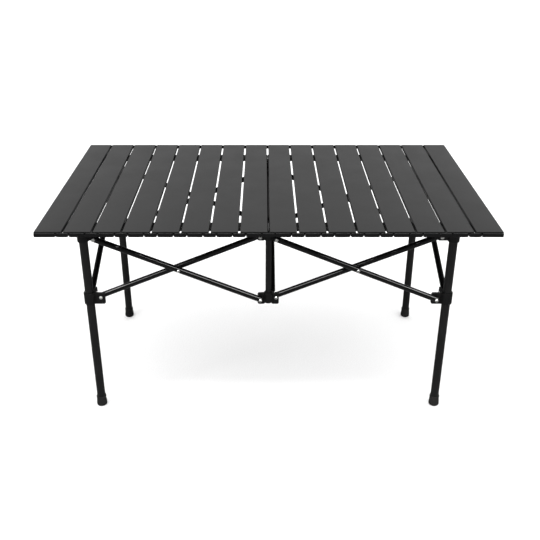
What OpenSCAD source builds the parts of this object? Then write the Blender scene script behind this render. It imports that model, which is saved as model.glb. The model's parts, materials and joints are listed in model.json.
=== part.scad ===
// Folding picnic table: a slatted roll-up top on a scissor frame.
// Long side along X, front toward -Y, origin on the floor under the middle.

/* [Table] */
// length of the top, along X
top_w = 950; // [800:10:1200]
// depth of the top, along Y
top_d = 550; // [450:10:700]
// height of the top surface over the floor
table_h = 490; // [400:5:600]

/* [Slats] */
// number of slats
slat_count = 16; // [8:1:24]
// open gap between two slats
slat_gap = 4.667; // [2:0.1:8]
// thickness of a slat
slat_t = 8.6; // [7:0.1:16]
// wall of the slat extrusion
slat_wall = 1.4; // [0.8:0.1:3]
// slot left open in the underside of a slat
slat_slot = 35; // [10:1:45]
// thickness of the plates on the slat ends
plate_t = 3; // [2:0.5:5]
// height of the plates on the slat ends
plate_h = 9; // [6:0.5:12]
// distance of the plates' underside below the top surface
plate_low = 11; // [9:0.5:14]
// width of the plate centred on a slat
cap_w = 32; // [20:1:40]
// width of the plate that bridges a gap
link_w = 27; // [20:1:40]
// distance of the slat hinge pin from the middle of the gap
pin_off = 8; // [5:0.5:12]
// distance of the slat hinge pin below the top surface
pin_low = 5; // [3.5:0.1:8]
// radius of the slat hinge pin
pin_r = 2; // [1.5:0.1:3]

/* [Rails] */
// distance of each rail from the middle of the top
rail_y = 213; // [150:5:250]
// width of a rail
rail_w = 28; // [15:1:35]
// reach of a rail from the middle
rail_x = 460; // [400:5:470]
// play between the rails and the slats
rail_play = 3.5; // [1:0.1:5]
// distance of a rail's underside below the top surface
rail_low = 20.5; // [18:0.5:30]
// wall of a rail
rail_wall = 1.2; // [0.8:0.1:2]

// length of the blocks that clip the first slat to the rails
clip_w = 24; // [10:1:35]
// length of the bars that join the rail halves
joiner_w = 90; // [40:5:150]

/* [Legs] */
// distance of each leg axis from the middle, along X
leg_x = 396.5; // [300:0.5:450]
// distance of each leg axis from the middle, along Y
leg_y = 198; // [150:1:250]
// radius of a leg tube
leg_r = 9.5; // [7:0.5:15]
// wall of a leg tube
leg_wall = 1.2; // [0.8:0.1:2.5]
// radius of a centre post
post_r = 6.2; // [5:0.1:10]
// height of a foot
foot_h = 25; // [20:1:50]
// largest radius of a foot
foot_r = 12; // [10:0.5:20]

/* [Scissor frame] */
// height of the upper pivots
pivot_hi = 442; // [380:1:560]
// height of the lower pivots
pivot_lo = 294; // [200:1:350]
// pivot distance from a leg axis, along X
lug_leg = 25; // [20:0.5:35]
// pivot distance from a centre post axis, along X
lug_post = 17.5; // [14:0.5:25]
// pivot distance from a leg or post axis, along Y
lug_side = 21; // [18:0.5:30]
// thickness of a lug
lug_t = 5; // [3:0.5:8]
// radius of a brace tube
brace_r = 6.5; // [5:0.5:9]
// wall of a brace tube
brace_wall = 1; // [0.8:0.1:2]
// radius of a rivet
rivet_r = 2.4; // [1.5:0.1:4]
// radius of a rivet head
head_r = 3.75; // [3:0.05:6]
// outer radius of a leg sleeve
sleeve_r = 12.5; // [11:0.5:18]
// outer radius of a post sleeve
hub_r = 9.5; // [8:0.5:14]

/* [Hidden] */
$fn = 48;
eps = 0.2;
play = 0.3;
run = 0.06;
slat_w = (top_w - (slat_count - 1) * slat_gap) / slat_count;
pitch = slat_w + slat_gap;
slat_end = top_d / 2 - plate_t - play;
pin_in = pin_off - slat_gap / 2;
rail_top = table_h - slat_t - rail_play;
rail_bot = table_h - rail_low;
seat = rail_bot - play;
span = leg_x - lug_leg - lug_post;
drop = pivot_hi - pivot_lo;
brace_len = sqrt(span * span + drop * drop);
tilt = atan2(drop, span);
layer = lug_t / 2 + play + brace_r;
fit = 0.1;
cap_r = 3.5;
link_r = 4.4;
plug_d = 10;
seat_t = 4;
seat_in = 12;
seat_out = 23;
seat_leg = 15;
seat_post = 12;
lug_corner = 4;
lug_x_tip = 9.5;
lug_y_tip = 8;
lug_post_tip = 6.1;
hi_above = 13;
hi_below = 7;
lo_above = 12;
lo_below = 16;
sleeve_half = 14;
leg_cup = 9;
post_cup = 5;
lock_half = 11;
post_below = 9;

// ---- shared shapes ----

module tube(r, wall, h) {
    difference() {
        cylinder(r = r, h = h);
        translate([0, 0, -1])
            cylinder(r = r - wall, h = h + 2);
    }
}

// rivet along +Y: a shaft from y0 to y1 with a low domed head at each end, or at y0 alone
module rivet(y0, y1, one_head = false) {
    translate([0, y0, 0]) rotate([-90, 0, 0])
        cylinder(r = rivet_r, h = y1 - y0);
    if (!one_head) {
        translate([0, y1 - 1, 0]) rotate([-90, 0, 0])
            rivet_head();
    }
    translate([0, y0 + 1, 0]) rotate([90, 0, 0])
        rivet_head();
}

module rivet_head() {
    cylinder(r = head_r, h = 1);
    translate([0, 0, 1])
        cylinder(r1 = head_r, r2 = head_r - 1.3, h = 0.9);
}

// brace along X: a tube with plugged ends; its lugs are on the -Y side. Each rivet is a
// piece of its own. pinned: this brace carries the crossing rivet and its spacer. blind: its
// end rivets stop inside the tube, where a brace of the next cell comes close.
module brace(pinned, blind) {
    half = brace_len / 2;
    end = [[0, half + 6], [3, half + 6], [5.4, half + 4], [brace_r, half + 1]];
    difference() {
        rotate([0, 90, 0]) rotate_extrude()
            polygon(concat(end, [for (i = [3:-1:0]) [end[i][0], -end[i][1]]]));
        rotate([0, 90, 0])
            cylinder(r = brace_r - brace_wall, h = brace_len - 2 * plug_d, center = true);
        for (x = [-half, 0, half]) {
            translate([x, 0, 0]) rotate([90, 0, 0])
                cylinder(r = rivet_r + run, h = 4 * brace_r, center = true);
        }
    }
    for (x = [-half, half]) {
        translate([x, 0, 0])
            rivet(-layer - lug_t / 2 - play - 1, blind ? brace_r - 1 : brace_r + play + 1, blind);
    }
    if (pinned) {
        rivet(-2 * layer - brace_r - play - 1, brace_r + play + 1);
        translate([0, -brace_r - 0.1, 0]) rotate([90, 0, 0])
            cylinder(r = head_r + 0.75, h = 2 * layer - 2 * brace_r - play);
    }
}

// brace in a front or back cell: the cell's middle at x, row plane at y.
// rise = 1 climbs toward +X; side = -1 or 1 is the layer before or behind the lugs.
module row_brace(x, y, rise, side, pinned) {
    translate([x, y + side * layer, (pivot_hi + pivot_lo) / 2])
        rotate([0, -rise * tilt, 0])
            rotate([side > 0 ? 0 : 180, 0, 0]) brace(pinned, side * y < 0);
}

// brace in a side or centre cell, which lies across the table: its lugs are at x. In a side
// cell they stand beside the legs, so that the outer brace lines up with the legs.
module cross_brace(x, rise, side, pinned) {
    translate([x - side * layer, 0, (pivot_hi + pivot_lo) / 2])
        rotate([0, 0, 90]) rotate([0, -rise * tilt, 0])
            rotate([side > 0 ? 0 : 180, 0, 0]) brace(pinned, false);
}

// flat lug along +X in the XZ plane with its hole at x = at, height z = 0
module lug(at, reach, low, high) {
    end = at + reach;
    r = lug_corner;
    difference() {
        union() {
            translate([0, -lug_t / 2, r - low])
                cube([end, lug_t, low + high - 2 * r]);
            translate([0, -lug_t / 2, -low])
                cube([end - r, lug_t, low + high]);
            for (z = [r - low, high - r]) {
                translate([end - r, 0, z]) rotate([90, 0, 0])
                    cylinder(r = r, h = lug_t, center = true);
            }
        }
        translate([at, 0, 0]) rotate([90, 0, 0])
            cylinder(r = rivet_r + run, h = lug_t + 2, center = true);
    }
}

// ---- legs and feet ----

module leg_tube(sx, sy) {
    color([0.05, 0.05, 0.055])
    translate([sx * leg_x, sy * leg_y, 5])
        tube(leg_r, leg_wall, seat - 10);
}

module foot(sx, sy) {
    color([0.04, 0.04, 0.04])
    translate([sx * leg_x, sy * leg_y, 0])
        difference() {
            union() {
                cylinder(r1 = foot_r - 1.5, r2 = foot_r, h = 1.5);
                translate([0, 0, 1.5])
                    cylinder(r1 = foot_r, r2 = foot_r - 1.1, h = foot_h - 3.5);
                translate([0, 0, foot_h - 2])
                    cylinder(r = foot_r - 0.6, h = 2);
            }
            translate([0, 0, 4.7])
                cylinder(r = leg_r + fit, h = foot_h);
        }
}

// ---- frame brackets ----

// flat plate under a rail, along X by half either way
module seat_plate(half, sy) {
    translate([-half, sy > 0 ? -seat_in : -seat_out, seat - seat_t])
        cube([2 * half, seat_in + seat_out, seat_t]);
}

module top_bracket(sx, sy) {
    color([0.05, 0.05, 0.055])
    translate([sx * leg_x, sy * leg_y, 0])
        difference() {
            union() {
                translate([0, 0, pivot_hi - leg_cup + 1])
                    cylinder(r = sleeve_r, h = seat - pivot_hi + leg_cup - 1);
                translate([0, 0, pivot_hi - leg_cup])
                    cylinder(r1 = sleeve_r - 1, r2 = sleeve_r, h = 1);
                seat_plate(seat_leg, sy);
                translate([0, 0, pivot_hi]) rotate([0, 0, sx > 0 ? 180 : 0])
                    lug(lug_leg, lug_x_tip, hi_below, hi_above);
                translate([-sx * layer, 0, pivot_hi]) rotate([0, 0, -sy * 90])
                    lug(lug_side, lug_y_tip, hi_below, hi_above);
            }
            cylinder(r = leg_r + fit, h = seat - seat_t - 0.8);
        }
}

module slider_bracket(sx, sy) {
    color([0.05, 0.05, 0.055])
    translate([sx * leg_x, sy * leg_y, pivot_lo])
        difference() {
            union() {
                cylinder(r = sleeve_r, h = 2 * sleeve_half, center = true);
                rotate([0, 0, sx > 0 ? 180 : 0])
                    lug(lug_leg, lug_x_tip, lo_below, lo_above);
                translate([-sx * layer, 0, 0]) rotate([0, 0, -sy * 90])
                    lug(lug_side, lug_y_tip, lo_below, lo_above);
            }
            cylinder(r = leg_r + play, h = 3 * sleeve_half, center = true);
        }
}

module post_tube(sy) {
    color([0.05, 0.05, 0.055])
    translate([0, sy * leg_y, pivot_lo - post_below])
        tube(post_r, leg_wall, seat - 5 - pivot_lo + post_below);
}

module post_bracket(sy) {
    color([0.05, 0.05, 0.055])
    translate([0, sy * leg_y, 0])
        difference() {
            union() {
                translate([0, 0, pivot_hi - post_cup])
                    cylinder(r = hub_r, h = seat - pivot_hi + post_cup);
                seat_plate(seat_post, sy);
                for (a = [0, 180, -sy * 90]) {
                    translate([0, 0, pivot_hi]) rotate([0, 0, a])
                        lug(abs(a) == 90 ? lug_side : lug_post, lug_post_tip, hi_below, hi_above);
                }
            }
            cylinder(r = post_r + fit, h = seat - seat_t - 0.8);
        }
}

module lock_bracket(sy) {
    color([0.05, 0.05, 0.055])
    translate([0, sy * leg_y, pivot_lo])
        difference() {
            union() {
                translate([0, 0, -lock_half])
                    cylinder(r = hub_r, h = lock_half + sleeve_half);
                for (a = [0, 180, -sy * 90]) {
                    rotate([0, 0, a])
                        lug(abs(a) == 90 ? lug_side : lug_post, lug_post_tip, lo_below, lo_above);
                }
            }
            cylinder(r = post_r + play, h = 3 * sleeve_half, center = true);
        }
}

// ---- rails ----

module rail(sx, sy) {
    h = rail_top - rail_bot;
    len = rail_x - play;
    color([0.06, 0.06, 0.065])
    translate([sx > 0 ? play : -rail_x, sy * rail_y - rail_w / 2, rail_bot])
        difference() {
            cube([len, rail_w, h]);
            translate([-1, rail_wall, rail_wall])
                cube([len + 2, rail_w - 2 * rail_wall, h - 2 * rail_wall]);
        }
}

module rail_joiner(sy) {
    h = rail_top - rail_bot - 2 * rail_wall - play;
    w = rail_w - 2 * rail_wall - play;
    color([0.3, 0.3, 0.31])
    translate([-joiner_w / 2, sy * rail_y - w / 2, rail_bot + rail_wall + play / 2])
        cube([joiner_w, w, h]);
}

// block on a rail that reaches up into the channel of the first slat
module slat_clip(sy) {
    w = rail_w - 4;
    color([0.05, 0.05, 0.055])
    translate([(slat_w - top_w - clip_w) / 2, sy * rail_y - w / 2, rail_top])
        cube([clip_w, w, rail_play + slat_t - slat_wall - eps]);
}

// ---- slats ----

module extrusion() {
    difference() {
        translate([-slat_w / 2, -slat_end, -slat_t])
            cube([slat_w, 2 * slat_end, slat_t]);
        translate([slat_wall - slat_w / 2, -slat_end - 1, slat_wall - slat_t])
            cube([slat_w - 2 * slat_wall, 2 * slat_end + 2, slat_t - 2 * slat_wall]);
        translate([-slat_slot / 2, -slat_end - 1, -slat_t - 1])
            cube([slat_slot, 2 * slat_end + 2, slat_wall + 2]);
    }
}

// rounded plate standing across Y, from x0 to x1 about the middle of the slat
module end_plate(x0, x1, r) {
    translate([0, 0, -plate_low]) {
        translate([x0 + r, 0, 0])
            cube([x1 - x0 - 2 * r, plate_t, plate_h]);
        translate([x0, 0, r])
            cube([x1 - x0, plate_t, plate_h - 2 * r]);
        for (x = [x0 + r, x1 - r], z = [r, plate_h - r]) {
            translate([x, 0, z]) rotate([-90, 0, 0])
                cylinder(r = r, h = plate_t);
        }
    }
}

// plug, cap plate, link plate and hinge pin at the +Y end of a slat
module slat_fittings(first, last) {
    edge = slat_w / 2;
    difference() {
        union() {
            translate([eps + slat_wall / 2 - edge, slat_end - plug_d, slat_wall / 2 - slat_t])
                cube([slat_w - slat_wall - 2 * eps, plug_d, slat_t - slat_wall]);
            translate([2 - cap_w / 2, slat_end - 2, slat_wall / 2 - slat_t])
                cube([cap_w - 4, 2 + play + 1, slat_t - slat_wall / 2 - 3]);
        }
        if (!first) {
            translate([pin_in - edge, slat_end - plug_d - 1, -pin_low]) rotate([-90, 0, 0])
                cylinder(r = pin_r + run, h = 2 * plug_d);
        }
    }
    translate([0, slat_end + play, 0])
        end_plate(first ? -edge : -cap_w / 2, last ? edge : cap_w / 2, cap_r);
    if (first) {
        translate([-edge, slat_end + play, -plate_low])
            cube([8, plate_t, plate_h]);
    }
    if (last) {
        translate([edge - 8, slat_end + play, -plate_low])
            cube([8, plate_t, plate_h]);
    }
    if (!last) {
        translate([edge + slat_gap / 2, slat_end + play, 0])
            end_plate(-link_w / 2, link_w / 2, link_r);
        translate([edge - pin_in, slat_end - 3, -pin_low]) rotate([-90, 0, 0])
            cylinder(r = pin_r + 1, h = 3 + play + 1);
        translate([edge + slat_gap / 2 + pin_off, slat_end - 8, -pin_low]) rotate([-90, 0, 0])
            cylinder(r = pin_r, h = 8 + play + 1);
    }
}

module slat(i) {
    color([0.2, 0.2, 0.21])
    translate([(i - 0.5) * pitch - slat_gap / 2 - top_w / 2, 0, table_h]) {
        difference() {
            extrusion();
            if (i > 1) {
                for (s = [-1, 1]) {
                    translate([pin_in - slat_w / 2, s * slat_end, -pin_low]) rotate([90, 0, 0])
                        cylinder(r = pin_r + run, h = 22, center = true);
                }
            }
        }
        slat_fittings(i == 1, i == slat_count);
        mirror([0, 1, 0])
            slat_fittings(i == 1, i == slat_count);
    }
}

// ---- nodes ----

module leg_front_left() {
    leg_tube(-1, -1);
}

module leg_front_right() {
    leg_tube(1, -1);
}

module leg_back_left() {
    leg_tube(-1, 1);
}

module leg_back_right() {
    leg_tube(1, 1);
}

module foot_front_left() {
    foot(-1, -1);
}

module foot_front_right() {
    foot(1, -1);
}

module foot_back_left() {
    foot(-1, 1);
}

module foot_back_right() {
    foot(1, 1);
}

module top_bracket_front_left() {
    top_bracket(-1, -1);
}

module top_bracket_front_right() {
    top_bracket(1, -1);
}

module top_bracket_back_left() {
    top_bracket(-1, 1);
}

module top_bracket_back_right() {
    top_bracket(1, 1);
}

module slider_bracket_front_left() {
    slider_bracket(-1, -1);
}

module slider_bracket_front_right() {
    slider_bracket(1, -1);
}

module slider_bracket_back_left() {
    slider_bracket(-1, 1);
}

module slider_bracket_back_right() {
    slider_bracket(1, 1);
}

module centre_post_front() {
    post_tube(-1);
}

module post_bracket_front() {
    post_bracket(-1);
}

module lock_bracket_front() {
    lock_bracket(-1);
}

module centre_post_back() {
    post_tube(1);
}

module post_bracket_back() {
    post_bracket(1);
}

module lock_bracket_back() {
    lock_bracket(1);
}

module brace_front_left_leg_top() {
    row_brace(-lug_post - span / 2, -leg_y, -1, -1, false);
}

module brace_front_left_post_top() {
    row_brace(-lug_post - span / 2, -leg_y, 1, 1, true);
}

module brace_front_right_leg_top() {
    row_brace(lug_post + span / 2, -leg_y, 1, 1, false);
}

module brace_front_right_post_top() {
    row_brace(lug_post + span / 2, -leg_y, -1, -1, true);
}

module brace_back_left_leg_top() {
    row_brace(-lug_post - span / 2, leg_y, -1, 1, false);
}

module brace_back_left_post_top() {
    row_brace(-lug_post - span / 2, leg_y, 1, -1, true);
}

module brace_back_right_leg_top() {
    row_brace(lug_post + span / 2, leg_y, 1, -1, false);
}

module brace_back_right_post_top() {
    row_brace(lug_post + span / 2, leg_y, -1, 1, true);
}

module brace_left_front_top() {
    cross_brace(layer - leg_x, -1, -1, true);
}

module brace_left_back_top() {
    cross_brace(layer - leg_x, 1, 1, false);
}

module brace_centre_front_top() {
    cross_brace(0, -1, 1, true);
}

module brace_centre_back_top() {
    cross_brace(0, 1, -1, false);
}

module brace_right_front_top() {
    cross_brace(leg_x - layer, -1, 1, true);
}

module brace_right_back_top() {
    cross_brace(leg_x - layer, 1, -1, false);
}

module rail_front_left() {
    rail(-1, -1);
}

module rail_front_right() {
    rail(1, -1);
}

module rail_joiner_front() {
    rail_joiner(-1);
}

module rail_back_left() {
    rail(-1, 1);
}

module rail_back_right() {
    rail(1, 1);
}

module rail_joiner_back() {
    rail_joiner(1);
}

module slat_clip_front() {
    slat_clip(-1);
}

module slat_clip_back() {
    slat_clip(1);
}

module slat_01() {
    slat(1);
}

module slat_02() {
    slat(2);
}

module slat_03() {
    slat(3);
}

module slat_04() {
    slat(4);
}

module slat_05() {
    slat(5);
}

module slat_06() {
    slat(6);
}

module slat_07() {
    slat(7);
}

module slat_08() {
    slat(8);
}

module slat_09() {
    slat(9);
}

module slat_10() {
    slat(10);
}

module slat_11() {
    slat(11);
}

module slat_12() {
    slat(12);
}

module slat_13() {
    slat(13);
}

module slat_14() {
    slat(14);
}

module slat_15() {
    slat(15);
}

module slat_16() {
    slat(16);
}

leg_front_left();
leg_front_right();
leg_back_left();
leg_back_right();
foot_front_left();
foot_front_right();
foot_back_left();
foot_back_right();
top_bracket_front_left();
top_bracket_front_right();
top_bracket_back_left();
top_bracket_back_right();
slider_bracket_front_left();
slider_bracket_front_right();
slider_bracket_back_left();
slider_bracket_back_right();
centre_post_front();
post_bracket_front();
lock_bracket_front();
centre_post_back();
post_bracket_back();
lock_bracket_back();
brace_front_left_leg_top();
brace_front_left_post_top();
brace_front_right_leg_top();
brace_front_right_post_top();
brace_back_left_leg_top();
brace_back_left_post_top();
brace_back_right_leg_top();
brace_back_right_post_top();
brace_left_front_top();
brace_left_back_top();
brace_centre_front_top();
brace_centre_back_top();
brace_right_front_top();
brace_right_back_top();
rail_front_left();
rail_front_right();
rail_joiner_front();
rail_back_left();
rail_back_right();
rail_joiner_back();
slat_clip_front();
slat_clip_back();
slat_01();
slat_02();
slat_03();
slat_04();
slat_05();
slat_06();
slat_07();
slat_08();
slat_09();
slat_10();
slat_11();
slat_12();
slat_13();
slat_14();
slat_15();
slat_16();
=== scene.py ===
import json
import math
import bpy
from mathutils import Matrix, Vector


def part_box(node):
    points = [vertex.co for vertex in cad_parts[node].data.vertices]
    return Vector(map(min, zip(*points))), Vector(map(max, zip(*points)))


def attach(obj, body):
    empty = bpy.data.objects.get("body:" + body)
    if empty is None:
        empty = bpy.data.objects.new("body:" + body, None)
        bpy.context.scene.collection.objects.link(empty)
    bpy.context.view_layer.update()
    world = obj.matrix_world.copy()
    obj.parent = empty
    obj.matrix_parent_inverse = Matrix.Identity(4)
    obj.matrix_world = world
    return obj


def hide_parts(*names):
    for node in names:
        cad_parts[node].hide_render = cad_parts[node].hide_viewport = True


bl_info = {
    "name": "Folding picnic table",
    "version": (1, 0, 0),
    "blender": (4, 5, 0),
    "location": "View3D > Sidebar > Picnic table",
    "description": "Builds a roll-up slatted table on a scissor frame, piece by piece",
    "category": "Object",
}

import bmesh
import bpy
from bpy.props import FloatProperty, FloatVectorProperty, IntProperty, PointerProperty
from mathutils import Matrix, Vector

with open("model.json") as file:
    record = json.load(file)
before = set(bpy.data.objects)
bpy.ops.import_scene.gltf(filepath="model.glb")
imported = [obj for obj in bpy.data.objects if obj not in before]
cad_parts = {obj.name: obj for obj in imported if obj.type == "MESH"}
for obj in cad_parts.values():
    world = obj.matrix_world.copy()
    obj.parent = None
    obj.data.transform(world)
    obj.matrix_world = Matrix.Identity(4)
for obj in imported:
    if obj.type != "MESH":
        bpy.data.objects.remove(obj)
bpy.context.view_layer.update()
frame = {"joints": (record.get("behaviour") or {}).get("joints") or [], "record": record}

MM = 0.001
BODIES = frame["record"]["behaviour"]["bodies"]
BODY_OF = {node: body for body, nodes in BODIES.items() for node in nodes}
JOINTS = {joint["name"]: joint for joint in frame["joints"]}
SLATS = sorted(node for node in BODY_OF if node.startswith("slat_") and node[5:].isdigit())
ROWS = {"front": -1, "back": 1}
SIDES = {"left": -1, "right": 1}


# ---- sizes taken from the frame ----


def middle(node):
    """The middle of a CAD node's box."""
    low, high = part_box(node)
    return (low + high) / 2


def extent(node):
    """The size of a CAD node's box."""
    low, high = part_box(node)
    return high - low


SLAT_WIDTH = extent(SLATS[-1]).x
SLAT_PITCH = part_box(SLATS[1])[0].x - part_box(SLATS[0])[0].x
SLAT_GAP = SLAT_PITCH - SLAT_WIDTH
TOP_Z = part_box(SLATS[0])[1].z
TOP_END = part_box(SLATS[0])[1].y
LEG_X = middle("leg_front_right").x
LEG_Y = middle("leg_back_right").y
LEG_R = extent("leg_front_left").x / 2
POST_R = extent("centre_post_front").x / 2
PIVOT_HIGH = Vector(JOINTS["frame_fold"]["pos_m"])
CROSSING = Vector(JOINTS["front_left_crossing"]["pos_m"])
HALF_SPAN = abs(CROSSING.x - PIVOT_HIGH.x)
HALF_DROP = PIVOT_HIGH.z - CROSSING.z
PIVOT_LOW_Z = CROSSING.z - HALF_DROP


# ---- what a user may change ----


class TableSizes(bpy.types.PropertyGroup):
    """Sizes of the details that the frame leaves open"""

    slat_thick: FloatProperty(
        name="Slat thickness", description="Thickness of the slat extrusion", default=8.6 * MM, unit="LENGTH"
    )
    slat_edge: FloatProperty(
        name="Slat edge", description="Radius of a slat's long top edges", default=1.3 * MM, unit="LENGTH"
    )
    slat_wall: FloatProperty(
        name="Slat wall", description="Wall of the slat extrusion", default=1.4 * MM, unit="LENGTH"
    )
    slat_slot: FloatProperty(
        name="Slat slot", description="Slot in the underside of a slat", default=35 * MM, unit="LENGTH"
    )
    plate_thick: FloatProperty(
        name="End plate", description="Thickness of the plates on the slat ends", default=3 * MM, unit="LENGTH"
    )
    plate_high: FloatProperty(
        name="End plate height", description="Height of the plates on the slat ends", default=9 * MM, unit="LENGTH"
    )
    plate_edge: FloatProperty(
        name="End plate edge", description="Rounding of an end plate's rim", default=1.0 * MM, unit="LENGTH"
    )
    cap_width: FloatProperty(
        name="Cap plate", description="Width of the plate on a slat's end", default=32 * MM, unit="LENGTH"
    )
    link_width: FloatProperty(
        name="Link plate", description="Width of the plate over a gap", default=27 * MM, unit="LENGTH"
    )
    brace_r: FloatProperty(name="Brace", description="Radius of a brace tube", default=6.5 * MM, unit="LENGTH")
    layer: FloatProperty(
        name="Brace layer", description="Distance of a brace from its lugs' middle", default=9.3 * MM, unit="LENGTH"
    )
    lug_thick: FloatProperty(name="Lug", description="Thickness of a lug", default=5 * MM, unit="LENGTH")
    lug_edge: FloatProperty(name="Lug edge", description="Rounding of a lug's rim", default=0.8 * MM, unit="LENGTH")
    rivet_r: FloatProperty(name="Rivet head", description="Radius of a rivet head", default=3.75 * MM, unit="LENGTH")
    rivet_h: FloatProperty(name="Rivet height", description="Height of a rivet's dome", default=1.9 * MM, unit="LENGTH")
    round_steps: IntProperty(name="Steps", description="Steps round a full circle", default=48, min=16, max=96)


class TableColours(bpy.types.PropertyGroup):
    """Colours of the finishes"""

    slat: FloatVectorProperty(
        name="Slats", description="Black anodised slat", subtype="COLOR", size=4, default=(0.0125, 0.0125, 0.0127, 1)
    )
    plate: FloatVectorProperty(
        name="End plates", description="Moulded end plates", subtype="COLOR", size=4, default=(0.004, 0.004, 0.0041, 1)
    )
    rail: FloatVectorProperty(
        name="Rails", description="Anodised rails", subtype="COLOR", size=4, default=(0.004, 0.004, 0.0041, 1)
    )
    leg: FloatVectorProperty(
        name="Legs", description="Satin painted tube", subtype="COLOR", size=4, default=(0.0035, 0.0035, 0.0036, 1)
    )
    brace: FloatVectorProperty(
        name="Braces", description="Gloss painted tube", subtype="COLOR", size=4, default=(0.002, 0.002, 0.0021, 1)
    )
    bracket: FloatVectorProperty(
        name="Brackets", description="Moulded brackets", subtype="COLOR", size=4, default=(0.004, 0.004, 0.0041, 1)
    )
    foot: FloatVectorProperty(
        name="Feet", description="Moulded feet", subtype="COLOR", size=4, default=(0.004, 0.004, 0.004, 1)
    )
    rivet: FloatVectorProperty(
        name="Rivets", description="Zinc-plated rivets", subtype="COLOR", size=4, default=(0.78, 0.78, 0.76, 1)
    )
    joiner: FloatVectorProperty(
        name="Joiners", description="Bare aluminium bar", subtype="COLOR", size=4, default=(0.62, 0.62, 0.63, 1)
    )
    floor: FloatVectorProperty(
        name="Floor", description="Pale floor", subtype="COLOR", size=4, default=(0.9, 0.9, 0.9, 1)
    )


class StageSettings(bpy.types.PropertyGroup):
    """Camera and light"""

    lens: FloatProperty(name="Lens", description="Focal length in mm", default=48.86)
    tilt: FloatProperty(
        name="Tilt", description="Camera tilt from straight down", default=math.radians(64.5), subtype="ANGLE"
    )
    eye: FloatVectorProperty(
        name="Eye", description="Camera place", subtype="TRANSLATION", default=(-0.0099, -1.6066, 1.1262)
    )
    shift: FloatVectorProperty(name="Shift", description="Camera shift", size=2, default=(0.01154, -0.0702))
    back_power: FloatProperty(name="Backdrop", description="Power of the lit wall behind", default=26, unit="POWER")
    strip_power: FloatProperty(name="Overhead", description="Power of the overhead strip", default=22, unit="POWER")
    side_power: FloatProperty(name="Side", description="Power of the strip on the left", default=12, unit="POWER")
    gloss_power: FloatProperty(
        name="Gloss", description="Power of the strip seen in reflections", default=520, unit="POWER"
    )
    sky: FloatProperty(name="Sky", description="Strength of the room's soft light", default=1.5)
    sky_gloss: FloatProperty(name="Sky gloss", description="Strength of the room in reflections", default=0.2)


def sizes():
    return bpy.context.scene.table_sizes


def colours():
    return bpy.context.scene.table_colours


# ---- mesh building ----


def circle(radius, height, steps):
    """A ring of points round local Z."""
    turn = math.tau / steps
    return [Vector((radius * math.cos(i * turn), radius * math.sin(i * turn), height)) for i in range(steps)]


def rounded(x0, x1, z0, z1, radius, y=0.0, steps=5):
    """A rectangle in the XZ plane with rounded corners."""
    points = []
    left, right, low, high = x0 + radius, x1 - radius, z0 + radius, z1 - radius
    for quarter, (x, z) in enumerate(((right, high), (left, high), (left, low), (right, low))):
        for i in range(steps + 1):
            angle = math.pi / 2 * (quarter + i / steps)
            points.append(Vector((x + radius * math.cos(angle), y, z + radius * math.sin(angle))))
    return points


def loft(bm, rings, place=Matrix(), closed=False):
    """Skins a run of equal rings into one closed shell: capped ends, or closed into a loop."""
    grid = [[bm.verts.new(place @ point) for point in ring] for ring in rings]
    faces = []
    last = len(grid) if closed else len(grid) - 1
    count = len(grid[0])
    for k in range(last):
        near, far = grid[k], grid[(k + 1) % len(grid)]
        for i in range(count):
            j = (i + 1) % count
            faces.append(bm.faces.new((near[i], near[j], far[j], far[i])))
    if not closed:
        faces.append(bm.faces.new(grid[0]))
        faces.append(bm.faces.new(grid[-1]))
    bmesh.ops.recalc_face_normals(bm, faces=faces)


def lathe(bm, profile, place=Matrix(), closed=False):
    """Turns a profile of (radius, height) points round local Z."""
    steps = sizes().round_steps
    loft(bm, [circle(radius, height, steps) for radius, height in profile], place, closed)


def plate(bm, x0, x1, z0, z1, radius, y0, y1, edge, place=Matrix()):
    """A rounded plate across Y whose two rims are rounded too."""
    rings = []
    for y, inward in ((y0, 1), (y1, -1)):
        stops = (0, 30, 60, 90) if inward > 0 else (90, 60, 30, 0)
        for stop in stops:
            inset = edge * (1 - math.sin(math.radians(stop)))
            depth = edge * (1 - math.cos(math.radians(stop)))
            corner = max(radius - inset, 0.1 * MM)
            rings.append(rounded(x0 + inset, x1 - inset, z0 + inset, z1 - inset, corner, y + inward * depth))
    loft(bm, rings, place)


def new_object(name, mesh):
    piece = bpy.data.objects.new(name, mesh)
    bpy.context.scene.collection.objects.link(piece)
    return piece


def shade(mesh, angle=32):
    """Smooth faces with sharp edges kept."""
    mesh.polygons.foreach_set("use_smooth", [True] * len(mesh.polygons))
    mesh.set_sharp_from_angle(angle=math.radians(angle))
    mesh.update()


def solid(name, bm, material, node):
    """Turns a bmesh into a finished piece that stands for a CAD node."""
    mesh = bpy.data.meshes.new(name)
    bm.to_mesh(mesh)
    bm.free()
    mesh.materials.append(material)
    shade(mesh)
    return fit(new_object(name, mesh), node)


def fit(piece, node):
    """The piece rides on a CAD node's body and replaces the node."""
    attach(piece, BODY_OF[node])
    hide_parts(node)
    return piece


# ---- geometry node trees ----


def tree(name, inputs):
    """An empty geometry tree with named inputs; returns it with its two end nodes."""
    group = bpy.data.node_groups.new(name, "GeometryNodeTree")
    group.interface.new_socket("Geometry", in_out="INPUT", socket_type="NodeSocketGeometry")
    for label, kind in inputs:
        group.interface.new_socket(label, in_out="INPUT", socket_type=kind)
    group.interface.new_socket("Geometry", in_out="OUTPUT", socket_type="NodeSocketGeometry")
    return group, group.nodes.new("NodeGroupInput"), group.nodes.new("NodeGroupOutput")


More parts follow.
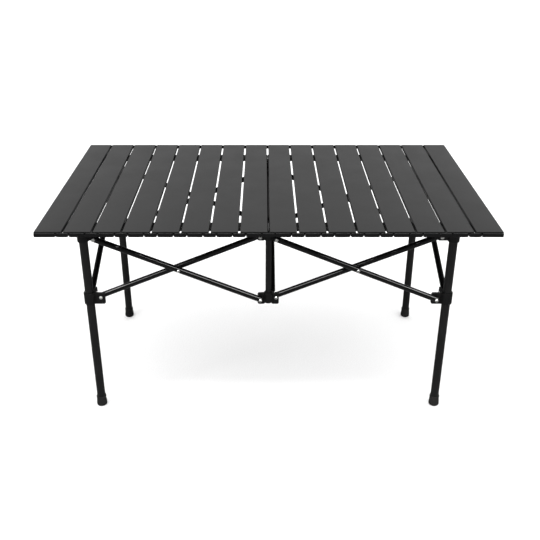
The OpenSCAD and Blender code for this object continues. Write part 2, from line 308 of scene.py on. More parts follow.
def close_tree(group, start, end, socket):
    """Ends a tree in Realize Instances and Set Material."""
    realize = group.nodes.new("GeometryNodeRealizeInstances")
    paint = group.nodes.new("GeometryNodeSetMaterial")
    group.links.new(socket, realize.inputs["Geometry"])
    group.links.new(realize.outputs["Geometry"], paint.inputs["Geometry"])
    group.links.new(start.outputs["Material"], paint.inputs["Material"])
    group.links.new(paint.outputs["Geometry"], end.inputs["Geometry"])
    return group


def extrusion_tree():
    """Pulls a flat profile along Y into a closed bar."""
    inputs = (("Length", "NodeSocketFloat"), ("Material", "NodeSocketMaterial"))
    group, start, end = tree("Extruded bar", inputs)
    nodes, links = group.nodes, group.links
    pull = nodes.new("GeometryNodeExtrudeMesh")
    pull.mode = "FACES"
    pull.inputs["Individual"].default_value = False
    offset = nodes.new("ShaderNodeCombineXYZ")
    links.new(start.outputs["Length"], offset.inputs["Y"])
    links.new(start.outputs["Geometry"], pull.inputs["Mesh"])
    links.new(offset.outputs["Vector"], pull.inputs["Offset"])
    pull.inputs["Offset Scale"].default_value = 1
    flip = nodes.new("GeometryNodeFlipFaces")
    links.new(start.outputs["Geometry"], flip.inputs["Mesh"])
    join = nodes.new("GeometryNodeJoinGeometry")
    links.new(pull.outputs["Mesh"], join.inputs["Geometry"])
    links.new(flip.outputs["Mesh"], join.inputs["Geometry"])
    weld = nodes.new("GeometryNodeMergeByDistance")
    weld.inputs["Distance"].default_value = 0.01 * MM
    links.new(join.outputs["Geometry"], weld.inputs["Geometry"])
    return close_tree(group, start, end, weld.outputs["Geometry"])


def tube_tree():
    """Sweeps a circle along a path of edges."""
    inputs = (("Radius", "NodeSocketFloat"), ("Sides", "NodeSocketInt"), ("Material", "NodeSocketMaterial"))
    group, start, end = tree("Tube on a path", inputs)
    nodes, links = group.nodes, group.links
    path = nodes.new("GeometryNodeMeshToCurve")
    links.new(start.outputs["Geometry"], path.inputs["Mesh"])
    ring = nodes.new("GeometryNodeCurvePrimitiveCircle")
    links.new(start.outputs["Radius"], ring.inputs["Radius"])
    links.new(start.outputs["Sides"], ring.inputs["Resolution"])
    sweep = nodes.new("GeometryNodeCurveToMesh")
    sweep.inputs["Fill Caps"].default_value = True
    links.new(path.outputs["Curve"], sweep.inputs["Curve"])
    links.new(ring.outputs["Curve"], sweep.inputs["Profile Curve"])
    return close_tree(group, start, end, sweep.outputs["Mesh"])


def rivet_tree():
    """Sets a domed head with a flat flange on every point, turned to the point's facing."""
    inputs = (
        ("Head Radius", "NodeSocketFloat"),
        ("Head Height", "NodeSocketFloat"),
        ("Flange", "NodeSocketFloat"),
        ("Material", "NodeSocketMaterial"),
    )
    group, start, end = tree("Rivet heads", inputs)
    nodes, links = group.nodes, group.links
    dome = nodes.new("GeometryNodeMeshUVSphere")
    dome.inputs["Segments"].default_value = 24
    dome.inputs["Rings"].default_value = 12
    dome.inputs["Radius"].default_value = 1
    shrink = nodes.new("ShaderNodeMath")
    shrink.operation = "MULTIPLY"
    shrink.inputs[1].default_value = 0.84
    links.new(start.outputs["Head Radius"], shrink.inputs[0])
    squeeze = nodes.new("ShaderNodeCombineXYZ")
    for axis in "XY":
        links.new(shrink.outputs[0], squeeze.inputs[axis])
    links.new(start.outputs["Head Height"], squeeze.inputs["Z"])
    form = nodes.new("GeometryNodeTransform")
    links.new(dome.outputs["Mesh"], form.inputs["Geometry"])
    links.new(squeeze.outputs["Vector"], form.inputs["Scale"])
    rim = nodes.new("GeometryNodeMeshCylinder")
    rim.inputs["Vertices"].default_value = 24
    links.new(start.outputs["Head Radius"], rim.inputs["Radius"])
    links.new(start.outputs["Flange"], rim.inputs["Depth"])
    head = nodes.new("GeometryNodeJoinGeometry")
    links.new(form.outputs["Geometry"], head.inputs["Geometry"])
    links.new(rim.outputs["Mesh"], head.inputs["Geometry"])
    facing = nodes.new("GeometryNodeInputNamedAttribute")
    facing.data_type = "FLOAT_VECTOR"
    facing.inputs["Name"].default_value = "facing"
    turn = nodes.new("FunctionNodeAlignRotationToVector")
    turn.axis = "Z"
    links.new(facing.outputs["Attribute"], turn.inputs["Vector"])
    points = nodes.new("GeometryNodeInstanceOnPoints")
    links.new(start.outputs["Geometry"], points.inputs["Points"])
    links.new(head.outputs["Geometry"], points.inputs["Instance"])
    links.new(turn.outputs["Rotation"], points.inputs["Rotation"])
    return close_tree(group, start, end, points.outputs["Instances"])


def grow(name, base, group, values):
    """Runs a geometry tree on a base mesh and keeps the result as a plain mesh object."""
    seed = new_object(name + "_base", base)
    grower = seed.modifiers.new("Grow", "NODES")
    grower.node_group = group
    for item in group.interface.items_tree:
        if item.in_out == "INPUT" and item.name in values:
            grower[item.identifier] = values[item.name]
    seed.update_tag()
    bpy.context.view_layer.update()
    depsgraph = bpy.context.evaluated_depsgraph_get()
    mesh = bpy.data.meshes.new_from_object(seed.evaluated_get(depsgraph))
    mesh.name = name
    bpy.data.objects.remove(seed)
    bpy.data.meshes.remove(base)
    for attribute in [a.name for a in mesh.attributes if a.name == "facing"]:
        mesh.attributes.remove(mesh.attributes[attribute])
    shade(mesh)
    return new_object(name, mesh)


def path_mesh(points):
    base = bpy.data.meshes.new("path")
    base.from_pydata([tuple(p) for p in points], [(i, i + 1) for i in range(len(points) - 1)], [])
    return base


def face_mesh(points):
    base = bpy.data.meshes.new("profile")
    base.from_pydata([tuple(p) for p in points], [], [tuple(range(len(points)))])
    base.update()
    return base


def rivets(name, heads, body):
    """Rivet heads at (place, facing) pairs."""
    base = bpy.data.meshes.new("rivet points")
    base.from_pydata([tuple(place) for place, _ in heads], [], [])
    facing = base.attributes.new("facing", "FLOAT_VECTOR", "POINT")
    for item, (_, direction) in zip(facing.data, heads):
        item.vector = direction
    values = {
        "Head Radius": sizes().rivet_r,
        "Head Height": sizes().rivet_h,
        "Flange": 0.9 * MM,
        "Material": rivet_finish(),
    }
    piece = grow(name, base, stored("rivets", rivet_tree), values)
    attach(piece, body)
    return piece


_store = {}


def stored(key, make):
    """Makes a tree, group or material once and hands out the same one after."""
    if key not in _store:
        _store[key] = make()
    return _store[key]


# ---- shader node groups ----


def shader_group(name, inputs, outputs):
    group = bpy.data.node_groups.new(name, "ShaderNodeTree")
    for label, kind, default in inputs:
        socket = group.interface.new_socket(label, in_out="INPUT", socket_type=kind)
        socket.default_value = default
    for label, kind in outputs:
        group.interface.new_socket(label, in_out="OUTPUT", socket_type=kind)
    return group, group.nodes.new("NodeGroupInput"), group.nodes.new("NodeGroupOutput")


def object_noise(group, start, stretch=None, detail=4.0):
    """A noise on Object coordinates whose scale is the group's Scale input."""
    nodes, links = group.nodes, group.links
    place = nodes.new("ShaderNodeTexCoord")
    noise = nodes.new("ShaderNodeTexNoise")
    noise.inputs["Detail"].default_value = detail
    source = place.outputs["Object"]
    if stretch:
        mapping = nodes.new("ShaderNodeMapping")
        links.new(source, mapping.inputs["Vector"])
        links.new(start.outputs[stretch], mapping.inputs["Scale"])
        source = mapping.outputs["Vector"]
    links.new(source, noise.inputs["Vector"])
    links.new(start.outputs["Scale"], noise.inputs["Scale"])
    return noise


def grain_group():
    """Fine grain, stretched along an axis if asked: a height and a tone."""
    group, start, end = shader_group(
        "Surface grain",
        (("Scale", "NodeSocketFloat", 900.0), ("Stretch", "NodeSocketVector", (1.0, 1.0, 1.0))),
        (("Height", "NodeSocketFloat"), ("Tone", "NodeSocketFloat")),
    )
    noise = object_noise(group, start, "Stretch", 3.0)
    tone = group.nodes.new("ShaderNodeMapRange")
    tone.inputs["From Min"].default_value = 0.3
    tone.inputs["From Max"].default_value = 0.7
    tone.inputs["To Min"].default_value = 0.9
    tone.inputs["To Max"].default_value = 1.1
    group.links.new(noise.outputs["Fac"], tone.inputs["Value"])
    group.links.new(noise.outputs["Fac"], end.inputs["Height"])
    group.links.new(tone.outputs["Result"], end.inputs["Tone"])
    return group


def handling_group():
    """Soft patches where hands and cloths have dulled or polished the finish."""
    group, start, end = shader_group(
        "Handling marks",
        (
            ("Scale", "NodeSocketFloat", 14.0),
            ("Low", "NodeSocketFloat", 0.3),
            ("High", "NodeSocketFloat", 0.4),
        ),
        (("Roughness", "NodeSocketFloat"), ("Mask", "NodeSocketFloat")),
    )
    noise = object_noise(group, start, None, 5.0)
    spread = group.nodes.new("ShaderNodeMapRange")
    spread.inputs["From Min"].default_value = 0.35
    spread.inputs["From Max"].default_value = 0.65
    group.links.new(noise.outputs["Fac"], spread.inputs["Value"])
    group.links.new(start.outputs["Low"], spread.inputs["To Min"])
    group.links.new(start.outputs["High"], spread.inputs["To Max"])
    mask = group.nodes.new("ShaderNodeMapRange")
    mask.inputs["From Min"].default_value = 0.35
    mask.inputs["From Max"].default_value = 0.65
    group.links.new(noise.outputs["Fac"], mask.inputs["Value"])
    group.links.new(spread.outputs["Result"], end.inputs["Roughness"])
    group.links.new(mask.outputs["Result"], end.inputs["Mask"])
    return group


def tint_group():
    """A colour whose lightness follows a tone and a little settled dust."""
    group, start, end = shader_group(
        "Toned colour",
        (
            ("Color", "NodeSocketColor", (0.02, 0.02, 0.02, 1.0)),
            ("Tone", "NodeSocketFloat", 1.0),
            ("Dust", "NodeSocketFloat", 0.0),
            ("Dust Color", "NodeSocketColor", (0.25, 0.24, 0.22, 1.0)),
        ),
        (("Color", "NodeSocketColor"),),
    )
    scale = group.nodes.new("ShaderNodeVectorMath")
    scale.operation = "SCALE"
    group.links.new(start.outputs["Color"], scale.inputs[0])
    group.links.new(start.outputs["Tone"], scale.inputs["Scale"])
    mix = group.nodes.new("ShaderNodeMix")
    mix.data_type = "RGBA"
    group.links.new(start.outputs["Dust"], mix.inputs["Factor"])
    group.links.new(scale.outputs["Vector"], mix.inputs[6])
    group.links.new(start.outputs["Dust Color"], mix.inputs[7])
    group.links.new(mix.outputs[2], end.inputs["Color"])
    return group


def use(material, key, make, **values):
    """Places a shader group in a material with its own values."""
    node = material.node_tree.nodes.new("ShaderNodeGroup")
    node.node_tree = stored(key, make)
    for label, value in values.items():
        node.inputs[label.replace("_", " ")].default_value = value
    return node


def finish(name, colour, low, high, grain, stretch, bump, dust=0.0, **fixed):
    """A material from the shared groups; fixed values are set on the shader's own sockets."""
    material = bpy.data.materials.new(name)
    material.use_nodes = True
    nodes, links = material.node_tree.nodes, material.node_tree.links
    surface = nodes["Principled BSDF"]
    for label, value in fixed.items():
        surface.inputs[label.replace("_", " ")].default_value = value
    texture = use(material, "grain", grain_group, Scale=grain, Stretch=stretch)
    marks = use(material, "handling", handling_group, Low=low, High=high)
    paint = use(material, "tint", tint_group, Color=colour)
    settle = nodes.new("ShaderNodeMath")
    settle.operation = "MULTIPLY"
    settle.inputs[1].default_value = dust
    links.new(marks.outputs["Mask"], settle.inputs[0])
    links.new(settle.outputs[0], paint.inputs["Dust"])
    links.new(texture.outputs["Tone"], paint.inputs["Tone"])
    links.new(paint.outputs["Color"], surface.inputs["Base Color"])
    links.new(marks.outputs["Roughness"], surface.inputs["Roughness"])
    relief = nodes.new("ShaderNodeBump")
    relief.inputs["Strength"].default_value = bump
    relief.inputs["Distance"].default_value = 0.1 * MM
    links.new(texture.outputs["Height"], relief.inputs["Height"])
    links.new(relief.outputs["Normal"], surface.inputs["Normal"])
    return material


# ---- the table's finishes ----

# how a finish's grain is stretched along X, Y and Z
EVEN = (1, 1, 1)
ALONG_X = (0.25, 6, 6)
ALONG_Y = (6, 0.25, 6)


def slat_finish():
    def make():
        return finish(
            "Black anodised slat", colours().slat, 0.34, 0.41, 700, ALONG_Y, 0.18, 0.01, Specular_IOR_Level=0.4
        )

    return stored("slat", make)


def plate_finish():
    def make():
        return finish("Moulded end plate", colours().plate, 0.32, 0.4, 1600, EVEN, 0.3, 0.0, Specular_IOR_Level=0.12)

    return stored("plate", make)


def rail_finish():
    def make():
        return finish("Black anodised rail", colours().rail, 0.38, 0.48, 700, ALONG_X, 0.2, Specular_IOR_Level=0.25)

    return stored("rail", make)


def leg_finish():
    def make():
        return finish("Satin black paint", colours().leg, 0.3, 0.38, 500, EVEN, 0.12, 0.01, Specular_IOR_Level=0.25)

    return stored("leg", make)


def brace_finish():
    def make():
        return finish("Gloss black paint", colours().brace, 0.12, 0.17, 320, EVEN, 0.05, 0.0, Specular_IOR_Level=0.3)

    return stored("brace", make)


def bracket_finish():
    def make():
        return finish("Moulded bracket", colours().bracket, 0.38, 0.5, 1500, EVEN, 0.35, 0.0, Specular_IOR_Level=0.15)

    return stored("bracket", make)


def foot_finish():
    def make():
        return finish("Moulded foot", colours().foot, 0.55, 0.68, 1200, EVEN, 0.5, 0.03, Specular_IOR_Level=0.2)

    return stored("foot", make)


def rivet_finish():
    def make():
        return finish("Zinc-plated rivet", colours().rivet, 0.2, 0.34, 1800, EVEN, 0.15, 0.0, Metallic=1.0)

    return stored("rivet", make)


def joiner_finish():
    def make():
        return finish("Mill-finish aluminium", colours().joiner, 0.3, 0.42, 700, (0.2, 6, 6), 0.2, 0.0, Metallic=1.0)

    return stored("joiner", make)


def floor_finish():
    """A pale matt floor that shows dimmer in the table's own reflections."""
    material = finish("Pale floor", colours().floor, 0.8, 0.9, 400, EVEN, 0.01)
    nodes, links = material.node_tree.nodes, material.node_tree.links
    surface = nodes["Principled BSDF"]
    tone = surface.inputs["Base Color"].links[0].from_socket
    ray = nodes.new("ShaderNodeLightPath")
    dim = nodes.new("ShaderNodeMapRange")
    dim.inputs["To Min"].default_value = 1
    dim.inputs["To Max"].default_value = 0.15
    scale = nodes.new("ShaderNodeVectorMath")
    scale.operation = "SCALE"
    links.new(ray.outputs["Is Glossy Ray"], dim.inputs["Value"])
    links.new(tone, scale.inputs[0])
    links.new(dim.outputs["Result"], scale.inputs["Scale"])
    links.new(scale.outputs["Vector"], surface.inputs["Base Color"])
    return material


# ---- the top ----


def slat_profile(x0, y):
    """Outline of the slat extrusion: a channel open below, with two inward lips."""
    s = sizes()
    x1 = x0 + SLAT_WIDTH
    z1, z0 = TOP_Z, TOP_Z - s.slat_thick
    wall, lip = s.slat_wall, (SLAT_WIDTH - s.slat_slot) / 2
    points = []
    for corner, start in (((x1 - s.slat_edge, z1 - s.slat_edge), 0), ((x0 + s.slat_edge, z1 - s.slat_edge), 90)):
        for i in range(6):
            angle = math.radians(start + 18 * i)
            points.append((corner[0] + s.slat_edge * math.cos(angle), corner[1] + s.slat_edge * math.sin(angle)))
    low = 0.4 * MM
    points += [(x0, z0 + low), (x0 + low, z0), (x0 + lip, z0), (x0 + lip, z0 + wall), (x0 + wall, z0 + wall)]
    points += [(x0 + wall, z1 - wall), (x1 - wall, z1 - wall), (x1 - wall, z0 + wall), (x1 - lip, z0 + wall)]
    points += [(x1 - lip, z0), (x1 - low, z0), (x1, z0 + low)]
    return [Vector((x, y, z)) for x, z in reversed(points)]


def slat_fittings(bm, node, end):
    """Plug, cap plate and link plate on one end of a slat; end is -1 for the front, 1 for the back."""
    s = sizes()
    first, last = node == SLATS[0], node == SLATS[-1]
    x0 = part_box(node)[0].x
    x1 = x0 + SLAT_WIDTH
    centre = (x0 + x1) / 2
    out = end * TOP_END
    inner = end * (TOP_END - s.plate_thick)
    y0, y1 = min(out, inner), max(out, inner)
    z0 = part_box(node)[0].z
    z1 = z0 + s.plate_high
    left = x0 if first else centre - s.cap_width / 2
    right = x1 if last else centre + s.cap_width / 2
    plate(bm, left, right, z0, z1, 1.6 * MM if first or last else 3.2 * MM, y0, y1, s.plate_edge)
    wall = s.slat_wall
    plug_out = end * (TOP_END - s.plate_thick - 0.4 * MM)
    plug_in = plug_out - end * 9 * MM
    plate(
        bm,
        x0 + wall * 0.7,
        x1 - wall * 0.7,
        TOP_Z - s.slat_thick + wall * 0.7,
        TOP_Z - wall * 0.7,
        0.8 * MM,
        min(plug_out, plug_in),
        max(plug_out, plug_in),
        0.3 * MM,
    )
    if not last:
        gap = x1 + SLAT_GAP / 2
        plate(bm, gap - s.link_width / 2, gap + s.link_width / 2, z0, z1, 4.3 * MM, y0, y1, s.plate_edge)


class BuildSlats(bpy.types.Operator):
    """Extrudes every slat and fits its end plates and links"""

    bl_idname = "picnic_table.slats"
    bl_label = "Slats"

    def execute(self, context):
        s = sizes()
        half = TOP_END - s.plate_thick - 0.3 * MM
        for node in SLATS:
            profile = slat_profile(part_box(node)[0].x, -half)
            values = {"Length": 2 * half, "Material": slat_finish()}
            bar = grow(node + "_extrusion", face_mesh(profile), stored("bar", extrusion_tree), values)
            fit(bar, node)
            bm = bmesh.new()
            for end in (-1, 1):
                slat_fittings(bm, node, end)
            solid(node + "_end_plates", bm, plate_finish(), node)
        return {"FINISHED"}


class BuildRails(bpy.types.Operator):
    """Builds the two support rails, their joiners and the clips that hold the first slat"""

    bl_idname = "picnic_table.rails"
    bl_label = "Rails"

    def execute(self, context):
        for row in ROWS:
            for side in SIDES:
                self.rail(f"rail_{row}_{side}", side)
            joiner = f"rail_joiner_{row}"
            low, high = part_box(joiner)
            bm = bmesh.new()
            turn = Matrix.Rotation(math.pi / 2, 4, "Z")
            plate(bm, low.y, high.y, low.z, high.z, 0.8 * MM, -high.x, -low.x, 0.3 * MM, turn)
            solid(joiner + "_bar", bm, joiner_finish(), joiner)
            self.clip(f"slat_clip_{row}")
        return {"FINISHED"}

    def clip(self, node):
        low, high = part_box(node)
        bm = bmesh.new()
        plate(bm, low.x, high.x, low.z, high.z, 1.5 * MM, low.y, high.y, 0.6 * MM)
        solid(node + "_block", bm, bracket_finish(), node)

    def rail(self, node, side):
        low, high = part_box(node)
        turn = Matrix.Rotation(math.pi / 2, 4, "Z")
        bm = bmesh.new()
        wall = 1.2 * MM
        rings = []
        for inset, x in ((0.3 * MM, low.x), (0, low.x + 0.3 * MM), (0, high.x - 0.3 * MM), (0.3 * MM, high.x)):
            rings.append(
                rounded(low.y + inset, high.y - inset, low.z + inset, high.z - inset, 1.5 * MM - inset, -x)
            )
        for x in (high.x, low.x):
            rings.append(rounded(low.y + wall, high.y - wall, low.z + wall, high.z - wall, 0.5 * MM, -x))
        loft(bm, rings, turn, closed=True)
        # a moulded stopper closes the outer end
        outer = (-high.x, -high.x + 6 * MM) if side == "right" else (-low.x - 6 * MM, -low.x)
        plate(
            bm,
            low.y + wall * 0.8,
            high.y - wall * 0.8,
            low.z + wall * 0.8,
            high.z - wall * 0.8,
            0.8 * MM,
            *outer,
            0.4 * MM,
            turn,
        )
        solid(node + "_tube", bm, rail_finish(), node)


# ---- the frame ----


class BuildLegs(bpy.types.Operator):
    """Sweeps the leg tubes and centre posts and turns the feet"""

    bl_idname = "picnic_table.legs"
    bl_label = "Legs and feet"

    def execute(self, context):
        for node in sorted(BODY_OF):
            if node.startswith("leg_"):
                self.tube(node, LEG_R)
            elif node.startswith("centre_post_"):
                self.tube(node, POST_R)
            elif node.startswith("foot_"):
                self.foot(node)
        return {"FINISHED"}

    def tube(self, node, radius):
        low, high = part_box(node)
        centre = middle(node)
        path = path_mesh([(centre.x, centre.y, low.z), (centre.x, centre.y, high.z)])
        values = {"Radius": radius, "Sides": sizes().round_steps, "Material": leg_finish()}
        piece = grow(node + "_tube", path, stored("tube", tube_tree), values)
        fit(piece, node)

    def foot(self, node):
        low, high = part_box(node)
        centre = middle(node)
        r = extent(node).x / 2
        h = high.z - low.z
        bore = LEG_R + 0.05 * MM
        profile = [(r - 4 * MM, 0.6 * MM), (r - 3.6 * MM, 0)]
        profile += [(r - 2.2 * MM + 2 * MM * math.sin(a), 2 * MM * (1 - math.cos(a))) for a in self.quarter()]
        profile += [(r, 3 * MM), (r, 6 * MM), (r - 0.5 * MM, 12 * MM), (r - 1.2 * MM, h - 7 * MM)]
        profile += [(r - 1.3 * MM, h - 4.2 * MM), (r - 0.7 * MM, h - 3.6 * MM), (r - 0.6 * MM, h - 0.9 * MM)]
        profile += [(r - 1.0 * MM, h), (bore, h), (bore, h - 6 * MM)]
        bm = bmesh.new()
        lathe(bm, profile, Matrix.Translation((centre.x, centre.y, 0)))
        # the tread: two low rings under the foot
        for radius in (r - 5 * MM, r - 8 * MM):
            ring = [(radius - 0.8 * MM, 0.7 * MM), (radius - 0.5 * MM, 0.1 * MM)]
            ring += [(radius + 0.5 * MM, 0.1 * MM), (radius + 0.8 * MM, 0.7 * MM)]
            lathe(bm, ring, Matrix.Translation((centre.x, centre.y, 0)), closed=True)
        solid(node + "_cap", bm, foot_finish(), node)

    def quarter(self):
        return [math.radians(18 * i) for i in range(6)]


# the brackets on a leg, and the smaller ones on a centre post
ON_LEG = {"tube": LEG_R, "sleeve": 12.5 * MM, "seat": 15 * MM, "rim_drop": 9 * MM, "slider_drop": 14 * MM}
ON_POST = {"tube": POST_R, "sleeve": 9.5 * MM, "seat": 12 * MM, "rim_drop": 5 * MM, "slider_drop": 11 * MM}
# how far a lug stands out from its tube's axis
REACH = {"leg_row": 34.5 * MM, "leg_side": 29 * MM, "post_row": 23.6 * MM, "post_centre": 27.1 * MM}
LUG_ROOT = 7 * MM
LUG_CORNER = 4 * MM
# heights over the pivot: a top bracket's lugs, a slider's lugs, a slider's upper rim
TOP_LUG = (-7 * MM, 13 * MM)
SLIDER_LUG = (-16 * MM, 12 * MM)
SLIDER_RISE = 14 * MM
# the flat seat under a rail
SEAT_INWARD = 12 * MM
SEAT_OUTWARD = 23 * MM
SEAT_THICK = 4 * MM


def lug(bm, place, reach, low, high):
    """A flat lug along local X, from inside the sleeve to its tip."""
    s = sizes()
    half = s.lug_thick / 2
    plate(bm, LUG_ROOT, reach, low, high, LUG_CORNER, -half, half, s.lug_edge, place)


def sleeve(bm, place, outer, bore, low, high, edge=1.2 * MM):
    """An open sleeve round local Z with softened rims."""
    profile = [(bore, low + 0.3 * MM), (bore + 0.3 * MM, low), (outer - edge, low)]
    profile += [(outer - edge * 0.3, low + edge * 0.3), (outer, low + edge)]
    profile += [(outer, high - edge), (outer - edge * 0.3, high - edge * 0.3)]
    profile += [(outer - edge, high), (bore + 0.3 * MM, high), (bore, high - 0.3 * MM)]
    lathe(bm, profile, place, closed=True)


class BuildBrackets(bpy.types.Operator):
    """Moulds the top brackets, the sliders on the legs and the lock brackets on the centre posts"""

    bl_idname = "picnic_table.brackets"
    bl_label = "Brackets"

    def execute(self, context):
        for row, sy in ROWS.items():
            for side, sx in SIDES.items():
                place = Matrix.Translation((sx * LEG_X, sy * LEG_Y, 0))
                arms = [(self.along(-sx), "leg_row"), (self.across(-sy, -sx), "leg_side")]
                self.top(f"top_bracket_{row}_{side}", place, arms, ON_LEG, sy)
                self.slider(f"slider_bracket_{row}_{side}", place, arms, ON_LEG)
            place = Matrix.Translation((0, sy * LEG_Y, 0))
            arms = [(self.along(1), "post_row"), (self.along(-1), "post_row"), (self.across(-sy, 0), "post_centre")]
            self.top(f"post_bracket_{row}", place, arms, ON_POST, sy)
            self.slider(f"lock_bracket_{row}", place, arms, ON_POST)
        return {"FINISHED"}

    def along(self, sign):
        """Points a lug along the row, to the right or to the left."""
        return Matrix.Rotation(0 if sign > 0 else math.pi, 4, "Z")

    def across(self, sign, inward):
        """Points a lug across the table, one brace layer inward of its tube."""
        return Matrix.Translation((inward * sizes().layer, 0, 0)) @ Matrix.Rotation(sign * math.pi / 2, 4, "Z")

    def top(self, node, place, arms, size, sy):
        """A cup over the tube's end with a flat seat and its lugs."""
        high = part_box(node)[1]
        rim = PIVOT_HIGH.z - size["rim_drop"]
        tube_r, outer, seat = size["tube"], size["sleeve"], size["seat"]
        bm = bmesh.new()
        profile = [(tube_r + 0.05 * MM, rim + 12 * MM), (tube_r + 0.05 * MM, rim + 0.3 * MM)]
        profile += [(tube_r + 0.4 * MM, rim), (outer - 1.1 * MM, rim), (outer - 0.2 * MM, rim + 0.8 * MM)]
        profile += [(outer, rim + 1.4 * MM), (outer, high.z - 5 * MM), (outer - 0.8 * MM, high.z - 2 * MM)]
        lathe(bm, profile, place)
        near, far = sorted((-sy * SEAT_INWARD, sy * SEAT_OUTWARD))
        under, over = -high.z + SEAT_THICK, -high.z
        plate(bm, -seat, seat, near, far, 4 * MM, over, under, 0.8 * MM, self.seat_turn(place))
        for arm, kind in arms:
            lug(bm, place @ arm, REACH[kind], *(PIVOT_HIGH.z + z for z in TOP_LUG))
        solid(node + "_moulding", bm, bracket_finish(), node)

    def seat_turn(self, place):
        """Lays a plate flat: local Y becomes -Z and local Z becomes Y."""
        return place @ Matrix(((1, 0, 0, 0), (0, 0, 1, 0), (0, -1, 0, 0), (0, 0, 0, 1)))

    def slider(self, node, place, arms, size):
        """A sleeve that runs on the tube, with its lugs."""
        bm = bmesh.new()
        low, high = PIVOT_LOW_Z - size["slider_drop"], PIVOT_LOW_Z + SLIDER_RISE
        sleeve(bm, place, size["sleeve"], size["tube"] + 0.3 * MM, low, high)
        for arm, kind in arms:
            lug(bm, place @ arm, REACH[kind], *(PIVOT_LOW_Z + z for z in SLIDER_LUG))
        solid(node + "_moulding", bm, bracket_finish(), node)


def brace_places():
    """(node, middle, direction, way to the lugs, carries the crossing rivet) of every brace."""
    s = sizes()
    places = []
    mid_x = abs(CROSSING.x)
    for row, sy in ROWS.items():
        for side, sx in SIDES.items():
            for start in ("leg", "post"):
                falls = (side == "left") == (start == "leg")
                layer = (-1 if falls else 1) * -sy
                centre = Vector((sx * mid_x, sy * LEG_Y + layer * s.layer, CROSSING.z))
                along = Vector((HALF_SPAN, 0, -HALF_DROP if falls else HALF_DROP))
                node = f"brace_{row}_{side}_{start}_top"
                places.append((node, centre, along, Vector((0, -layer, 0)), start == "post"))
    # (cell, its lugs' place along X, side of its pinned brace)
    cells = (("left", s.layer - LEG_X, 1), ("centre", 0, -1), ("right", LEG_X - s.layer, -1))
    for cell, x, pinned_side in cells:
        for start, falls in (("front", True), ("back", False)):
            side = pinned_side if start == "front" else -pinned_side
            centre = Vector((x + side * s.layer, 0, CROSSING.z))
            along = Vector((0, HALF_SPAN, -HALF_DROP if falls else HALF_DROP))
            places.append((f"brace_{cell}_{start}_top", centre, along, Vector((-side, 0, 0)), start == "front"))
    return places


class BuildBraces(bpy.types.Operator):
    """Sweeps the brace tubes, plugs their ends and sets their rivets"""

    bl_idname = "picnic_table.braces"
    bl_label = "Braces and rivets"

    def execute(self, context):
        s = sizes()
        for node, centre, along, to_lug, pinned in brace_places():
            values = {"Radius": s.brace_r, "Sides": s.round_steps, "Material": brace_finish()}
            overhang = along.normalized() * 1 * MM
            path = path_mesh([centre - along - overhang, centre + along + overhang])
            fit(grow(node + "_tube", path, stored("tube", tube_tree), values), node)
            self.plugs(node, centre, along)
            self.rivets(node, centre, along, to_lug, pinned)
            if pinned:
                self.spacer(node, centre, to_lug)
        return {"FINISHED"}

    def plugs(self, node, centre, along):
        r = sizes().brace_r
        bm = bmesh.new()
        profile = [(r - 1.2 * MM, -6 * MM), (r - 1.2 * MM, 0.9 * MM), (r - 0.1 * MM, 1.0 * MM), (r, 1.3 * MM)]
        profile += [(r - 0.1 * MM, 2.0 * MM), (r - 0.8 * MM, 3.8 * MM), (r - 2.2 * MM, 5.3 * MM)]
        profile += [(r - 4 * MM, 6 * MM), (0.4 * MM, 6.1 * MM)]
        for sign in (-1, 1):
            turn = (sign * along).to_track_quat("Z", "Y").to_matrix().to_4x4()
            lathe(bm, profile, Matrix.Translation(centre + sign * along) @ turn)
        solid(node + "_plugs", bm, bracket_finish(), node)

    def rivets(self, node, centre, along, to_lug, pinned):
        s = sizes()
        lug_face = s.layer + s.lug_thick / 2 + 0.35 * MM
        tube_face = s.brace_r - 0.5 * MM
        blind = to_lug.y * centre.y > 0
        heads = []
        for sign in (-1, 1):
            pivot = centre + sign * along
            heads.append((pivot + to_lug * lug_face, to_lug))
            if not blind:
                heads.append((pivot - to_lug * tube_face, -to_lug))
        if pinned:
            heads.append((centre - to_lug * tube_face, -to_lug))
            heads.append((centre + to_lug * (2 * s.layer + tube_face), to_lug))
        piece = rivets(node + "_rivets", heads, BODY_OF[node])
        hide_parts(node)

    def spacer(self, node, centre, to_lug):
        s = sizes()
        bm = bmesh.new()
        turn = to_lug.to_track_quat("Z", "Y").to_matrix().to_4x4()
        near, far = s.brace_r - 0.8 * MM, 2 * s.layer - s.brace_r - 0.3 * MM
        profile = [(1 * MM, near), (4.2 * MM, near), (4.5 * MM, near + 0.4 * MM), (4.5 * MM, far - 0.5 * MM)]
        profile += [(4.1 * MM, far), (1 * MM, far)]
        lathe(bm, profile, Matrix.Translation(centre) @ turn)
        solid(node + "_spacer", bm, bracket_finish(), node)


# ---- stage ----


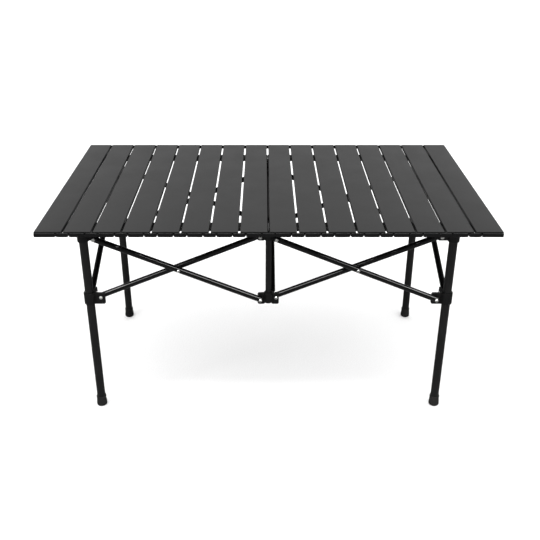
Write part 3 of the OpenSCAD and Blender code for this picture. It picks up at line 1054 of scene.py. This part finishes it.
class BuildStage(bpy.types.Operator):
    """Sets the floor, the soft lights and the camera"""

    bl_idname = "picnic_table.stage"
    bl_label = "Stage"

    def execute(self, context):
        settings = context.scene.table_stage
        self.floor()
        self.light("Backdrop", (0, 4.2, 1.9), (7, 2.6), settings.back_power)
        self.light("Overhead strip", (0, -0.9, 2.6), (3, 0.3), settings.strip_power)
        self.light("Left strip", (-2.6, -1.6, 1.6), (0.3, 2.2), settings.side_power)
        self.light("Gloss strip", (0, -1.4, 2.6), (7, 1.2), settings.gloss_power).visible_diffuse = False
        world = bpy.data.worlds.new("Studio")
        world.use_nodes = True
        nodes, links = world.node_tree.nodes, world.node_tree.links
        sky = nodes["Background"]
        sky.inputs["Color"].default_value = (1, 1, 1, 1)
        ray = nodes.new("ShaderNodeLightPath")
        dim = nodes.new("ShaderNodeMapRange")
        dim.inputs["To Min"].default_value = settings.sky
        dim.inputs["To Max"].default_value = settings.sky_gloss
        links.new(ray.outputs["Is Glossy Ray"], dim.inputs["Value"])
        links.new(dim.outputs["Result"], sky.inputs["Strength"])
        context.scene.world = world
        context.scene.view_settings.view_transform = "Standard"
        eye = bpy.data.cameras.new("Camera")
        eye.lens = settings.lens
        eye.sensor_width = 36
        eye.shift_x, eye.shift_y = settings.shift
        camera = bpy.data.objects.new("Camera", eye)
        camera.location = settings.eye
        camera.rotation_euler = (settings.tilt, 0, 0)
        context.scene.collection.objects.link(camera)
        context.scene.camera = camera
        return {"FINISHED"}

    def floor(self):
        bm = bmesh.new()
        reach = 30
        corners = ((-reach, -reach), (reach, -reach), (reach, reach), (-reach, reach))
        bm.faces.new([bm.verts.new((x, y, 0)) for x, y in corners])
        mesh = bpy.data.meshes.new("Floor")
        bm.to_mesh(mesh)
        bm.free()
        mesh.materials.append(floor_finish())
        new_object("Floor", mesh)

    def light(self, name, place, size, power):
        lamp = bpy.data.lights.new(name, "AREA")
        lamp.shape = "RECTANGLE"
        lamp.size, lamp.size_y = size
        lamp.energy = power
        holder = bpy.data.objects.new(name, lamp)
        holder.location = place
        aim = Vector((0, 0, 0.3)) - Vector(place)
        holder.rotation_euler = aim.to_track_quat("-Z", "Y").to_euler()
        bpy.context.scene.collection.objects.link(holder)
        return holder


# ---- panel and registration ----

OPERATORS = (BuildStage, BuildSlats, BuildRails, BuildLegs, BuildBrackets, BuildBraces)


class PicnicTablePanel(bpy.types.Panel):
    """Lists the table's pieces"""

    bl_idname = "VIEW3D_PT_picnic_table"
    bl_label = "Picnic table"
    bl_space_type = "VIEW_3D"
    bl_region_type = "UI"
    bl_category = "Picnic table"

    def draw(self, context):
        column = self.layout.column()
        for operator in OPERATORS:
            column.operator(operator.bl_idname)
        for group in (context.scene.table_sizes, context.scene.table_colours, context.scene.table_stage):
            for name in group.__annotations__:
                column.prop(group, name)


CLASSES = (TableSizes, TableColours, StageSettings, *OPERATORS, PicnicTablePanel)


def register():
    for cls in CLASSES:
        bpy.utils.register_class(cls)
    bpy.types.Scene.table_sizes = PointerProperty(type=TableSizes)
    bpy.types.Scene.table_colours = PointerProperty(type=TableColours)
    bpy.types.Scene.table_stage = PointerProperty(type=StageSettings)


def unregister():
    del bpy.types.Scene.table_stage
    del bpy.types.Scene.table_colours
    del bpy.types.Scene.table_sizes
    for cls in reversed(CLASSES):
        bpy.utils.unregister_class(cls)


def main():
    register()
    bpy.ops.picnic_table.stage()
    bpy.ops.picnic_table.slats()
    bpy.ops.picnic_table.rails()
    bpy.ops.picnic_table.legs()
    bpy.ops.picnic_table.brackets()
    bpy.ops.picnic_table.braces()


if __name__ == "__main__":
    main()
